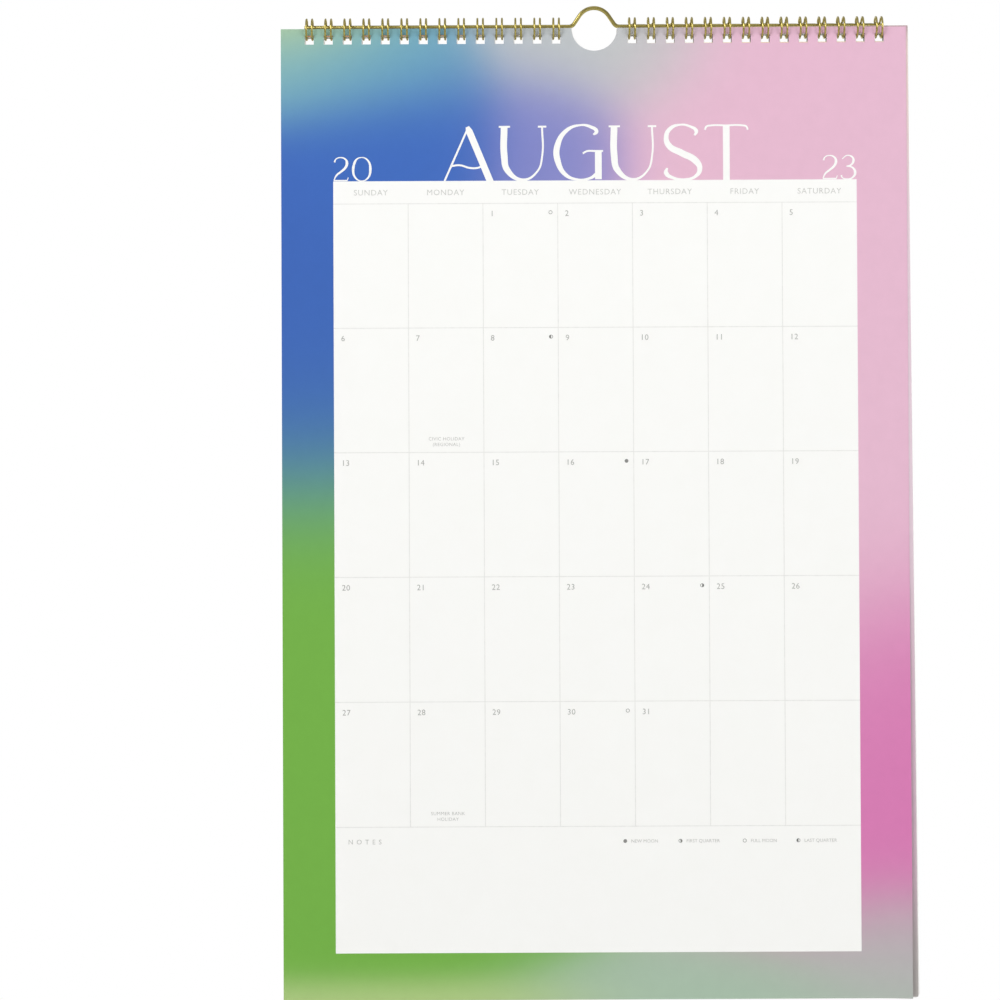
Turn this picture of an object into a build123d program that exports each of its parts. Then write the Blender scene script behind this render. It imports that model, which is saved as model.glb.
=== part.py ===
from build123d import *
import os
from math import cos, degrees, hypot, radians, sin, sqrt

# A portrait wall calendar: loose sheets and a board on twin-loop wire, with a hanger wire.
# Millimetres. X runs across the calendar, -Y faces the reader and +Z is up.
# The origin is where the nail bears, under the top of the hanger's hump.

# Sheets and board
SHEET_WIDTH = 279.4
SHEET_HEIGHT = 431.8
PAPER_THICK = 0.3
PRINT_THICK = 0.04
SHEETS_BEHIND = 11
BOARD_THICK = 1.2
TURN_GAP = 0.1  # air between the sheet that turns and the sheets behind it

# Punching along the top edge
HOLE_PITCH = 25.4 / 3
HOLE_SIZE = 4.0
HOLE_TOP_MARGIN = 2.95  # paper between the top edge and a hole
HOLE_SIDE_MARGIN = 12.0  # least distance from a sheet's side to a hole's centre
PLACES_LEFT_OUT = 1  # unpunched places on each side of the middle one
NOTCH_RADIUS = 10.2

# Twin-loop wire
WIRE_DIA = 0.9
WIRE_FLATS = 6  # the many loops are drawn with few flats, to stay light
LOOP_GAUGE = 2.5  # between the two wires of a loop
RING_ABOVE_EDGE = 0.1  # ring centre over the sheets' top edge
RING_FIT = 0.2  # air between a ring and the paper above a hole
RING_SIDES = 11  # straight runs that draw one leg of a loop
TIP_SIDES = 4
TIP_GAP = 0.2  # between a loop's closed tip and the seam that it meets
LEFT_SEAM_ANGLE = 250.0  # from straight down, over the front and the top
RIGHT_SEAM_ANGLE = 241.0

# Hanger wire
ROD_DIA = 1.8
ROD_FLATS = 12
ROD_SEAT_GAP = 0.1
ROD_OVERHANG = 0.6  # past the outer wire of the last loop
ROD_END_CHAMFER = 0.2
HUMP_RISE = 8.3  # between the wire's centre lines
HUMP_RADIUS = 7.8
HUMP_FILLET = 3.0
HUMP_SLOPE = 56.0  # of the straight stretch on each side of the hump

# Date panel, the unprinted part of the front sheet
PANEL_SIDE_MARGIN = 23.2
PANEL_TOP_MARGIN = 68.1
PANEL_BOTTOM_MARGIN = 20.8
HEADING_ROW = 10.1
NOTES_ROW = 55.8
WEEK_ROWS = 5
DAY_COLUMNS = 7
RULE_WIDTH = 0.35

# Colour fields of the printed border, measured from the sheet's top left corner
LEFT_FIELD_WIDTH = 100.0
MIDDLE_FIELD_WIDTH = 70.0
TEAL_FIELD_HEIGHT = 30.0
BLUE_FIELD_HEIGHT = 180.0
PINK_FIELD_HEIGHT = 262.0
GREY_FIELD_HEIGHT = 52.0  # up from the sheet's foot

# Worked out: the stack, from its front face to its back face, is centred on Y = 0
BLOCK_THICK = SHEETS_BEHIND * PAPER_THICK
STACK_THICK = PAPER_THICK + TURN_GAP + BLOCK_THICK + BOARD_THICK
FRONT_Y = -STACK_THICK / 2
BLOCK_Y = FRONT_Y + PAPER_THICK + TURN_GAP
BOARD_Y = BLOCK_Y + BLOCK_THICK

# Worked out: heights
ROD_Z = ROD_DIA / 2 - HUMP_RISE
EDGE_Z = ROD_Z - ROD_DIA / 2 - ROD_SEAT_GAP
RING_Z = EDGE_Z + RING_ABOVE_EDGE

# Worked out: a ring clears the corner of the paper above a hole, at the stack's two faces
RING_RADIUS = hypot(STACK_THICK / 2, HOLE_TOP_MARGIN + RING_ABOVE_EDGE) + RING_FIT + WIRE_DIA / 2

# Worked out: the punched places on each side of the middle
PLACES_PER_SIDE = int((SHEET_WIDTH / 2 - HOLE_SIDE_MARGIN) / HOLE_PITCH) - PLACES_LEFT_OUT
LOOP_PLACES = [(PLACES_LEFT_OUT + 1 + i) * HOLE_PITCH for i in range(PLACES_PER_SIDE)]

# Worked out: the date panel, from the sheet's top edge down
PANEL_WIDTH = SHEET_WIDTH - 2 * PANEL_SIDE_MARGIN
PANEL_HEIGHT = SHEET_HEIGHT - PANEL_TOP_MARGIN - PANEL_BOTTOM_MARGIN
WEEK_HEIGHT = (PANEL_HEIGHT - HEADING_ROW - NOTES_ROW) / WEEK_ROWS


def facing(y):
    """The upright plane at a depth y, seen from the front, with its zero on the sheets' top edge."""
    return Plane(origin=(0, y, EDGE_Z), x_dir=(1, 0, 0), z_dir=(0, -1, 0))


def slab(sketch, y, thick):
    """A flat piece of the given outline, from depth y towards the wall."""
    return extrude(facing(y) * sketch, amount=-thick)


def area(left, right, top, bottom):
    """A rectangle on a sheet: left and right from its middle, top and bottom down from its top edge."""
    return Pos((left + right) / 2, -(top + bottom) / 2) * Rectangle(right - left, bottom - top)


def sheet_outline():
    """A sheet or board with its punched holes and half-moon notch."""
    outline = area(-SHEET_WIDTH / 2, SHEET_WIDTH / 2, 0, SHEET_HEIGHT) - Circle(NOTCH_RADIUS)
    hole = Rectangle(HOLE_SIZE, HOLE_SIZE)
    for x in LOOP_PLACES:
        for side in (-1, 1):
            outline -= Pos(side * x, -HOLE_TOP_MARGIN - HOLE_SIZE / 2) * hole
    return outline


def panel_outline():
    """The date panel."""
    bottom = PANEL_TOP_MARGIN + PANEL_HEIGHT
    return area(-PANEL_WIDTH / 2, PANEL_WIDTH / 2, PANEL_TOP_MARGIN, bottom)


def date_rules():
    """The hairlines between the days, under the headings and over the notes."""
    left = -PANEL_WIDTH / 2
    top = PANEL_TOP_MARGIN + HEADING_ROW
    bottom = top + WEEK_ROWS * WEEK_HEIGHT
    half = RULE_WIDTH / 2
    rules = Sketch()
    for row in range(WEEK_ROWS + 1):
        level = top + row * WEEK_HEIGHT
        rules += area(left, -left, level - half, level + half)
    for column in range(1, DAY_COLUMNS):
        x = left + column * PANEL_WIDTH / DAY_COLUMNS
        rules += area(x - half, x + half, top, bottom)
    return rules


def colour_fields():
    """The printed border as plain fields of colour, named by their colour."""
    left = -SHEET_WIDTH / 2
    right = SHEET_WIDTH / 2
    first = left + LEFT_FIELD_WIDTH
    second = first + MIDDLE_FIELD_WIDTH
    blue_top = TEAL_FIELD_HEIGHT
    green_top = blue_top + BLUE_FIELD_HEIGHT
    magenta_top = PINK_FIELD_HEIGHT
    grey_top = SHEET_HEIGHT - GREY_FIELD_HEIGHT
    foot = SHEET_HEIGHT
    return {
        "print_teal": area(left, first, 0, blue_top),
        "print_blue": area(left, first, blue_top, green_top),
        "print_green": area(left, first, green_top, foot),
        "print_lilac": area(first, second, 0, green_top),
        "print_sage": area(first, second, green_top, foot),
        "print_pink": area(second, right, 0, magenta_top),
        "print_magenta": area(second, right, magenta_top, grey_top),
        "print_grey": area(second, right, grey_top, foot),
    }


def ring_point(angle, x):
    """A point of the wire's centre line; the angle runs from straight down, over the front and the top."""
    turn = radians(angle)
    return Vector(x, -RING_RADIUS * sin(turn), RING_Z - RING_RADIUS * cos(turn))


def loop_points(x, seam_angle):
    """One twin loop: a leg from the seam under and over to the closed tip, and a leg back beside it."""
    half = LOOP_GAUGE / 2
    bend = degrees(half / RING_RADIUS)
    start = seam_angle - 360 + bend
    reach = sqrt((LOOP_GAUGE + WIRE_DIA + TIP_GAP) ** 2 - LOOP_GAUGE**2)
    end = seam_angle + bend - degrees(reach / RING_RADIUS)
    angles = [start + (end - start) * i / RING_SIDES for i in range(RING_SIDES + 1)]
    leg_out = [ring_point(angle, x - half) for angle in angles]
    tip_turns = [radians(180 * i / TIP_SIDES) for i in range(1, TIP_SIDES)]
    tip = [ring_point(end + bend * sin(turn), x - half * cos(turn)) for turn in tip_turns]
    leg_back = [ring_point(angle, x + half) for angle in reversed(angles)]
    return leg_out + tip + leg_back


def binding_wire(places, seam_angle):
    """One wire bent into twin loops, joined along the seam by short straight runs."""
    points = []
    for place, x in enumerate(places):
        if place > 0:
            points.append(ring_point(seam_angle, places[place - 1] + LOOP_GAUGE))
            points.append(ring_point(seam_angle, x - LOOP_GAUGE))
        points += loop_points(x, seam_angle)
    first_run = Plane(origin=points[0], z_dir=points[1] - points[0])
    section = first_run * RegularPolygon(WIRE_DIA / 2, WIRE_FLATS)
    return sweep(section, path=Polyline(*points), transition=Transition.RIGHT)


def hanger_wire():
    """A straight wire with a hump in its middle, which has a round top and sloping sides."""
    half = LOOP_PLACES[-1] + LOOP_GAUGE / 2 + WIRE_DIA / 2 + ROD_OVERHANG
    slope = radians(HUMP_SLOPE)
    bends = HUMP_RADIUS + HUMP_FILLET
    side = (HUMP_RISE - bends * (1 - cos(slope))) / sin(slope)
    foot = bends * sin(slope) + side * cos(slope)
    left = Line((-half, 0), (-foot, 0))
    rise = JernArc(left @ 1, left % 1, HUMP_FILLET, HUMP_SLOPE)
    climb = Line(rise @ 1, rise @ 1 + side * (rise % 1))
    hump = JernArc(climb @ 1, climb % 1, HUMP_RADIUS, -2 * HUMP_SLOPE)
    descent = Line(hump @ 1, hump @ 1 + side * (hump % 1))
    fall = JernArc(descent @ 1, descent % 1, HUMP_FILLET, HUMP_SLOPE)
    right = Line(fall @ 1, (half, 0))
    upright = Plane(origin=(0, 0, ROD_Z), x_dir=(1, 0, 0), z_dir=(0, -1, 0))
    path = upright * (left + rise + climb + hump + descent + fall + right)
    section = Plane(origin=path @ 0, z_dir=path % 0) * RegularPolygon(ROD_DIA / 2, ROD_FLATS)
    wire = sweep(section, path=path)
    ends = wire.edges().group_by(Axis.X)
    return chamfer(ends[0] + ends[-1], ROD_END_CHAMFER)


def build_nodes():
    """Every piece of the calendar by its name."""
    outline = sheet_outline()
    border = outline - panel_outline()
    left_places = [-x for x in reversed(LOOP_PLACES)]
    nodes = {
        "hanger_wire": hanger_wire(),
        "binding_wire_left": binding_wire(left_places, LEFT_SEAM_ANGLE),
        "binding_wire_right": binding_wire(LOOP_PLACES, RIGHT_SEAM_ANGLE),
        "front_sheet": slab(outline, FRONT_Y + PRINT_THICK, PAPER_THICK - PRINT_THICK),
        "page_block": slab(outline, BLOCK_Y, BLOCK_THICK),
        "backing_board": slab(outline, BOARD_Y, BOARD_THICK),
        "date_rules": slab(date_rules(), FRONT_Y, PRINT_THICK),
    }
    for name, field in colour_fields().items():
        nodes[name] = slab(border & field, FRONT_Y, PRINT_THICK)
    return nodes


os.makedirs("parts", exist_ok=True)
for name, piece in build_nodes().items():
    export_step(piece, f"parts/{name}.step")
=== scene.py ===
import logging
import math
from collections.abc import Callable, Iterator, Sequence
from contextlib import contextmanager
from dataclasses import dataclass, field
from enum import Enum

import bmesh
import bpy
from bpy.types import NodeSocket, NodeTree, Object
from mathutils import Matrix, Vector


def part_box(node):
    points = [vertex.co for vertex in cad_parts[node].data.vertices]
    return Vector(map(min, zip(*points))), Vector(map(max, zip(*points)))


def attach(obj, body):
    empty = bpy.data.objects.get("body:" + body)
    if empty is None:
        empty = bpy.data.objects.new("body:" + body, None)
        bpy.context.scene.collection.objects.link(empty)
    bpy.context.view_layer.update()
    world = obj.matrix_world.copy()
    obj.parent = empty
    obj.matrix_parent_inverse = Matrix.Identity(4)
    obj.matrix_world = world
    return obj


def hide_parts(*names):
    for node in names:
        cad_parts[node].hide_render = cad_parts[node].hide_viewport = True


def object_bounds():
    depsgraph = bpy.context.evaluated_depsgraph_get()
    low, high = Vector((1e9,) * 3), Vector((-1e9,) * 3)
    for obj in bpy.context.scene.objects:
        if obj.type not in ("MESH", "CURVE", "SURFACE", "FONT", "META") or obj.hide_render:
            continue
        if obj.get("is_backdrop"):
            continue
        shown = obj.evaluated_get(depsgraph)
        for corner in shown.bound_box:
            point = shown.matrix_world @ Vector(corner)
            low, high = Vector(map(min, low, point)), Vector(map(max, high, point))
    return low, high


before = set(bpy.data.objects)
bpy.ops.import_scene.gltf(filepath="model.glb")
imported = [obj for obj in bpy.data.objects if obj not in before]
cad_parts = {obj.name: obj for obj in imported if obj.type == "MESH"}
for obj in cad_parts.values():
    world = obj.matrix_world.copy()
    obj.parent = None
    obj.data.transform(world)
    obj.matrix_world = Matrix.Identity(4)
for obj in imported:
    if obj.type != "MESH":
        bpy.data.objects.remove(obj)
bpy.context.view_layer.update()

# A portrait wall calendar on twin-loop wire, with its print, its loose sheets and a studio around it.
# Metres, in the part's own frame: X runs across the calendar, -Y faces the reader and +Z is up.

Levels = tuple[tuple[str, float], ...]
MM = 0.001
MERGE_DISTANCE = 0.002 * MM
TOLERANCE = 0.01 * MM  # for corners that are found by their place
FACING_READER = (math.pi / 2, 0, 0)
ACROSS = Vector((1, 0, 0))
TOWARDS_WALL = Vector((0, 1, 0))
UP = Vector((0, 0, 1))
SHEET_LOW, SHEET_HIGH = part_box("front_sheet")
RULES_LOW, RULES_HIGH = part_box("date_rules")
NOISE_MIDDLE = {"From Min": 0.3, "From Max": 0.7}  # most of a noise node's values lie between them
log = logging.getLogger("wall_calendar")


class Body(Enum):
    """The bodies that move on their own."""

    HANGER = "hanger"
    CALENDAR = "calendar"
    MONTH_SHEET = "month_sheet"


class Slot(Enum):
    """The record's material slots, which are handed to the pages but give no piece its finish."""

    WIRE = "gold_wire"
    SHEET = "sheet_paper"
    BLOCK = "block_paper"
    RULES = "rule_ink"


class MoonPhase(Enum):
    """The moon marks of a calendar, each with its caption in the legend."""

    NEW = "NEW MOON"
    FIRST_QUARTER = "FIRST QUARTER"
    FULL = "FULL MOON"
    LAST_QUARTER = "LAST QUARTER"


def linear_colour(hex_colour: str) -> tuple[float, float, float, float]:
    """Turn an sRGB hex colour into linear light.

    Args:
        hex_colour: A hash sign and six hex digits.

    Returns:
        Red, green, blue and alpha, as a colour socket takes them.
    """
    channels = [int(hex_colour[start:start + 2], 16) / 255 for start in (1, 3, 5)]
    light = [c / 12.92 if c <= 0.04045 else ((c + 0.055) / 1.055) ** 2.4 for c in channels]
    return (*light, 1.0)


def add_node(
    tree: NodeTree, kind: str, inputs: dict, output: int | str = 0, **settings: str
) -> NodeSocket:
    """Add a shader node with its settings and its inputs.

    Args:
        tree: The node tree of a material or the world.
        kind: The node's type, without its first word ShaderNode.
        inputs: A value or another node's output for each input, by name or number.
        output: The output that is wanted, by name or number.
        settings: The node's attributes.

    Returns:
        That output.
    """
    node = tree.nodes.new(f"ShaderNode{kind}")
    for name, value in settings.items():
        setattr(node, name, value)
    for key, value in inputs.items():
        if isinstance(value, NodeSocket):
            tree.links.new(value, node.inputs[key])
        else:
            node.inputs[key].default_value = value
    return node.outputs[output]


@dataclass(frozen=True)
class Grain:
    """A cloudy pattern: the real size of one cloud, and how many finer layers lie on it."""

    size: float
    layers: float = 2.0
    share: float = 1.0  # of the pattern, where several are added up
    fineness: float = 0.55  # the strength of each layer over that of the broader one

    def inputs(self, place: NodeSocket) -> dict:
        """What a noise node takes to draw the pattern at these coordinates."""
        return {"Vector": place, "Scale": 1 / self.size, "Detail": self.layers, "Roughness": self.fineness}


@dataclass(frozen=True)
class Finish:
    """A real material: two tones that drift into each other, and the relief that its making left."""

    name: str
    colour: str = "#FFFFFF"
    drift_colour: str = "#FFFFFF"
    drift: tuple[Grain, ...] = ()
    drift_range: tuple[float, float] = (0.0, 1.0)  # where the drift gives the one tone, and the other
    sheen: tuple[float, float] | None = None  # roughness where the drift is weak and where it is strong
    level: Levels = ()  # the shader's inputs that are the same all over
    relief: Grain = Grain(1 * MM)
    relief_height: float = 0.0

    def material(self) -> bpy.types.Material:
        """Give the finish as a material, made the first time that it is asked for.

        Returns:
            The material, with its nodes.
        """
        found = bpy.data.materials.get(self.name)
        if found:
            return found
        made = bpy.data.materials.new(self.name)
        made.use_nodes = True
        tree = made.node_tree
        shader = tree.nodes["Principled BSDF"]
        place = add_node(tree, "TexCoord", {}, "Object")
        drift: float | NodeSocket = 0.0
        for grain in self.drift:
            inputs = {0: add_node(tree, "TexNoise", grain.inputs(place)), 1: grain.share, 2: drift}
            drift = add_node(tree, "Math", inputs, operation="MULTIPLY_ADD")
        tree.links.new(self.tone(tree, place, drift), shader.inputs["Base Color"])
        for name, value in self.level:
            shader.inputs[name].default_value = value
        if self.sheen:
            inputs = {"Value": drift, "To Min": self.sheen[0], "To Max": self.sheen[1], **NOISE_MIDDLE}
            tree.links.new(add_node(tree, "MapRange", inputs), shader.inputs["Roughness"])
        if self.relief_height:
            relief = add_node(tree, "TexNoise", self.relief.inputs(place))
            inputs = {"Height": relief, "Distance": self.relief_height, "Strength": 1.0}
            tree.links.new(add_node(tree, "Bump", inputs), shader.inputs["Normal"])
        return made

    def tone(self, tree: NodeTree, place: NodeSocket, drift: NodeSocket) -> NodeSocket:
        """Mix the two tones by the drift.

        Args:
            tree: The material's node tree.
            place: The object coordinates.
            drift: The drift's strength.

        Returns:
            The colour of each spot.
        """
        inputs = {"Value": drift, "From Min": self.drift_range[0], "From Max": self.drift_range[1]}
        amount = add_node(tree, "MapRange", inputs)
        inputs = {"Factor": amount, "A": linear_colour(self.colour), "B": linear_colour(self.drift_colour)}
        return add_node(tree, "Mix", inputs, "Result", data_type="RGBA")


@dataclass(frozen=True)
class WovePaper(Finish):
    """Uncoated wove paper: matt, faintly cloudy where the pulp lies thicker, with a fine fibre tooth."""

    name: str = "uncoated_wove_paper"
    colour: str = "#FCFCFA"
    drift_colour: str = "#F9F9F6"
    drift: tuple[Grain, ...] = (Grain(9 * MM, 4),)
    level: Levels = (("Roughness", 0.74), ("IOR", 1.47), ("Specular IOR Level", 0.25))
    relief: Grain = Grain(0.7 * MM)  # real fibres are finer, and would not show
    relief_height: float = 0.012 * MM


@dataclass(frozen=True)
class FlatInk(Finish):
    """A thin line of offset ink, a little uneven where the paper drinks it."""

    drift: tuple[Grain, ...] = (Grain(1.6 * MM),)
    drift_range: tuple[float, float] = (0.3, 0.7)
    level: Levels = (("Roughness", 0.6),)


@dataclass(frozen=True)
class BrassPlatedWire(Finish):
    """Drawn steel wire with a brass coat: warm yellow metal, bright, a little uneven along its length."""

    name: str = "brass_plated_drawn_wire"
    colour: str = "#D0C278"
    drift_colour: str = "#AC9C50"
    drift: tuple[Grain, ...] = (Grain(2.4 * MM, 3),)
    sheen: tuple[float, float] = (0.2, 0.32)
    level: Levels = (("Metallic", 1.0),)
    relief: Grain = Grain(0.25 * MM)
    relief_height: float = 0.004 * MM


@dataclass(frozen=True)
class PaintedFloor(Finish):
    """Matt white paint rolled on a floor, with the roller's faint orange peel."""

    name: str = "matt_white_floor_paint"
    colour: str = "#F4F4F2"
    drift_colour: str = "#EEEEEB"
    drift: tuple[Grain, ...] = (Grain(6 * MM),)
    level: Levels = (("Roughness", 0.8),)
    relief: Grain = Grain(6 * MM)
    relief_height: float = 0.1 * MM


@dataclass(frozen=True)
class Greyboard(Finish):
    """Pressed board of recycled pulp: warm grey, matt, with pale and dark flecks of fibre."""

    name: str = "pressed_greyboard"
    colour: str = "#B9B4A9"
    drift_colour: str = "#9A9487"
    drift: tuple[Grain, ...] = (Grain(1.3 * MM, 5), Grain(11 * MM, share=0.2))  # flecks and faint clouds
    drift_range: tuple[float, float] = (0.4, 0.8)
    level: Levels = (("Roughness", 0.88),)
    relief: Grain = Grain(1.3 * MM, 5)
    relief_height: float = 0.05 * MM


@dataclass(frozen=True)
class ColourField:
    """One soft field of ink in a printed border, in millimetres on the sheet; a few fields also carry
    painted shade.
    """

    name: str
    across: float  # from the sheet's middle
    down: float  # from its top edge
    spread_across: float
    spread_down: float
    colour: str


@dataclass(frozen=True)
class BlendedPrint(Finish):
    """Offset ink on uncoated paper: fields of colour that melt into each other, with a soft satin."""

    drift: tuple[Grain, ...] = (Grain(0.7 * MM),)
    sheen: tuple[float, float] = (0.52, 0.62)
    level: Levels = (("IOR", 1.48), ("Specular IOR Level", 0.25))
    relief: Grain = Grain(0.7 * MM)
    relief_height: float = 0.010 * MM
    fields: tuple[ColourField, ...] = ()
    density: Grain = Grain(5 * MM, 6)
    least_density: float = 0.975

    def tone(self, tree: NodeTree, place: NodeSocket, drift: NodeSocket) -> NodeSocket:
        """Let each field fade out as a bell curve, and the fields share each spot.

        Args:
            tree: The material's node tree.
            place: The object coordinates.
            drift: Not used, because the fields drift by themselves.

        Returns:
            The colour of each spot.
        """
        ink: Vector | NodeSocket = Vector((0, 0, 0))
        cover: float | NodeSocket = 0.0
        for patch in self.fields:
            share = self.share(tree, place, patch)
            inputs = {0: linear_colour(patch.colour)[:3], 1: share, 2: ink}
            ink = add_node(tree, "VectorMath", inputs, operation="MULTIPLY_ADD")
            cover = add_node(tree, "Math", {0: share, 1: cover}, operation="ADD")
        blend = add_node(tree, "VectorMath", {0: ink, 1: cover}, operation="DIVIDE")
        pattern = add_node(tree, "TexNoise", self.density.inputs(place))
        inputs = {"Value": pattern, "To Min": self.least_density, "To Max": 1.0, **NOISE_MIDDLE}
        density = add_node(tree, "MapRange", inputs)
        return add_node(tree, "VectorMath", {0: blend, "Scale": density}, operation="SCALE")

    def share(self, tree: NodeTree, place: NodeSocket, patch: ColourField) -> NodeSocket:
        """Work out how strongly one field covers each spot.

        Args:
            tree: The material's node tree.
            place: The object coordinates.
            patch: The field.

        Returns:
            Its strength, 1 at its middle and fading to 0.
        """
        wide = patch.spread_across * MM
        tall = patch.spread_down * MM
        height = SHEET_HIGH.z - patch.down * MM
        inputs = {0: place, 1: (1 / wide, 0, 1 / tall), 2: (-patch.across * MM / wide, 0, -height / tall)}
        away = add_node(tree, "VectorMath", inputs, operation="MULTIPLY_ADD")
        square = add_node(tree, "VectorMath", {0: away, 1: away}, "Value", operation="DOT_PRODUCT")
        return add_node(tree, "Math", {0: math.exp(-1), 1: square}, operation="POWER")


def start_piece(name: str) -> Object:
    """Name the primitive that was just added.

    Args:
        name: The piece's name.

    Returns:
        The piece.
    """
    piece = bpy.context.object
    piece.name = name
    piece.data.name = name
    return piece


def pick_only(*pieces: Object) -> None:
    """Select these pieces and nothing else, and make the first one active.

    Args:
        pieces: The pieces.
    """
    bpy.ops.object.select_all(action="DESELECT")
    for piece in pieces:
        piece.select_set(True)
    bpy.context.view_layer.objects.active = pieces[0]


@contextmanager
def editing(piece: Object) -> Iterator[None]:
    """Work on one piece's mesh in edit mode, with all of it selected at first.

    Args:
        piece: The piece.

    Yields:
        Nothing.
    """
    pick_only(piece)
    bpy.ops.object.mode_set(mode="EDIT")
    bpy.ops.mesh.select_all(action="SELECT")
    yield
    bpy.ops.object.mode_set(mode="OBJECT")


def select_corners(piece: Object, wanted: Callable[[Vector], bool]) -> None:
    """Select a mesh's corners by their place, in edit mode.

    Args:
        piece: The piece in edit mode.
        wanted: Tells whether the corner at a place is selected.
    """
    bpy.ops.mesh.select_mode(type="VERT")
    bpy.ops.mesh.select_all(action="DESELECT")
    mesh = bmesh.from_edit_mesh(piece.data)
    for corner in mesh.verts:
        corner.select_set(wanted(corner.co))
    mesh.select_flush_mode()
    bmesh.update_edit_mesh(piece.data)


def place_in_mesh(piece: Object) -> None:
    """Move a piece's place, turn and scale into its mesh."""
    pick_only(piece)
    bpy.ops.object.transform_apply(location=True, rotation=True, scale=True)


def add_shape(name: str, operator: Callable, **settings: object) -> Object:
    """Add a primitive with nothing else selected, name it and settle it in its mesh.

    Args:
        name: The piece's name.
        operator: The operator that adds it.
        settings: The operator's settings.

    Returns:
        The piece.
    """
    bpy.ops.object.select_all(action="DESELECT")
    operator(**settings)
    piece = start_piece(name)
    place_in_mesh(piece)
    return piece


def leaning(degrees: float, across: float) -> Matrix:
    """A small turn in the sheets' plane, about the point of their top edge at this place across."""
    pivot = Matrix.Translation((across, 0, SHEET_HIGH.z))
    return pivot @ Matrix.Rotation(math.radians(degrees), 4, -TOWARDS_WALL) @ pivot.inverted()


def use_modifier(piece: Object, kind: str, settings: dict) -> None:
    """Add a modifier and apply it.

    Args:
        piece: The piece.
        kind: The modifier's type.
        settings: Its attributes by name.
    """
    pick_only(piece)
    modifier = piece.modifiers.new(kind.lower(), kind)
    for name, value in settings.items():
        setattr(modifier, name, value)
    bpy.ops.object.modifier_apply(modifier=modifier.name)


def copy_piece(piece: Object, name: str) -> Object:
    """Copy a piece with its own mesh.

    Args:
        piece: The piece to copy.
        name: The copy's name.

    Returns:
        The copy.
    """
    twin = piece.copy()
    twin.data = piece.data.copy()
    twin.name = name
    twin.data.name = name
    bpy.context.scene.collection.objects.link(twin)
    return twin


def join_pieces(pieces: Sequence[Object], name: str) -> Object:
    """Join pieces into one.

    Args:
        pieces: The pieces.
        name: The joined piece's name.

    Returns:
        The joined piece.
    """
    pick_only(*pieces)
    if len(pieces) > 1:
        bpy.ops.object.join()
    return start_piece(name)


def merge_and_face_out(piece: Object) -> None:
    """Merge a mesh's double corners and turn its faces outwards.

    Args:
        piece: The piece.
    """
    with editing(piece):
        bpy.ops.mesh.remove_doubles(threshold=MERGE_DISTANCE)
        bpy.ops.mesh.normals_make_consistent(inside=False)


def smooth_by_angle(piece: Object, degrees: float) -> None:
    """Shade a piece smooth, apart from edges sharper than an angle in degrees."""
    pick_only(piece)
    bpy.ops.object.shade_smooth_by_angle(angle=math.radians(degrees))


def hand_over(
    piece: Object,
    body: Body,
    finish: Finish | None = None,
    replaces: Sequence[str] = (),
) -> None:
    """Give a finished piece its material, its body and the CAD nodes that it stands for.

    Args:
        piece: The piece.
        body: The body that it moves with.
        finish: Its finish, unless its faces already have theirs.
        replaces: The CAD nodes that it hides.
    """
    if finish:
        piece.data.materials.clear()
        piece.data.materials.append(finish.material())
    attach(piece, body.value)
    if replaces:
        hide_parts(*replaces)
    log.info("%s: %d faces, moves with %s", piece.name, len(piece.data.polygons), body.value)


class WireBender:
    """A round wire that is fed straight and bent, as on a forming machine, by one ring of corners."""

    def __init__(self, name: str, radius: float, sides: int, start: Vector) -> None:
        """Clamp the wire's end, heading along X.

        Args:
            name: The wire's name.
            radius: The wire's radius.
            sides: The corners round the wire.
            start: The middle of its end.
        """
        ring = {"vertices": sides, "radius": radius, "fill_type": "NOTHING", "rotation": (0, math.pi / 2, 0)}
        self.wire = add_shape(name, bpy.ops.mesh.primitive_circle_add, location=start, **ring)
        bpy.ops.object.mode_set(mode="EDIT")
        bpy.ops.mesh.select_all(action="SELECT")

    def feed(self, travel: Vector, steps: int = 1) -> None:
        """Push the wire straight on, in a number of equal lengths."""
        for _ in range(steps):
            bpy.ops.mesh.extrude_region_move(TRANSFORM_OT_translate={"value": travel / steps})

    def bend(self, degrees: float, centre: Vector, axis: Vector, steps: int) -> None:
        """Bend the wire anticlockwise, seen against the pin's axis. With no window, spin is reversed."""
        bpy.ops.mesh.spin(steps=steps, angle=-math.radians(degrees), center=centre, axis=axis)

    def release(self) -> Object:
        """Take the wire out of the machine, in one skin with its faces outwards.

        Returns:
            The wire, open at both ends.
        """
        bpy.ops.object.mode_set(mode="OBJECT")
        merge_and_face_out(self.wire)
        return self.wire


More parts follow.
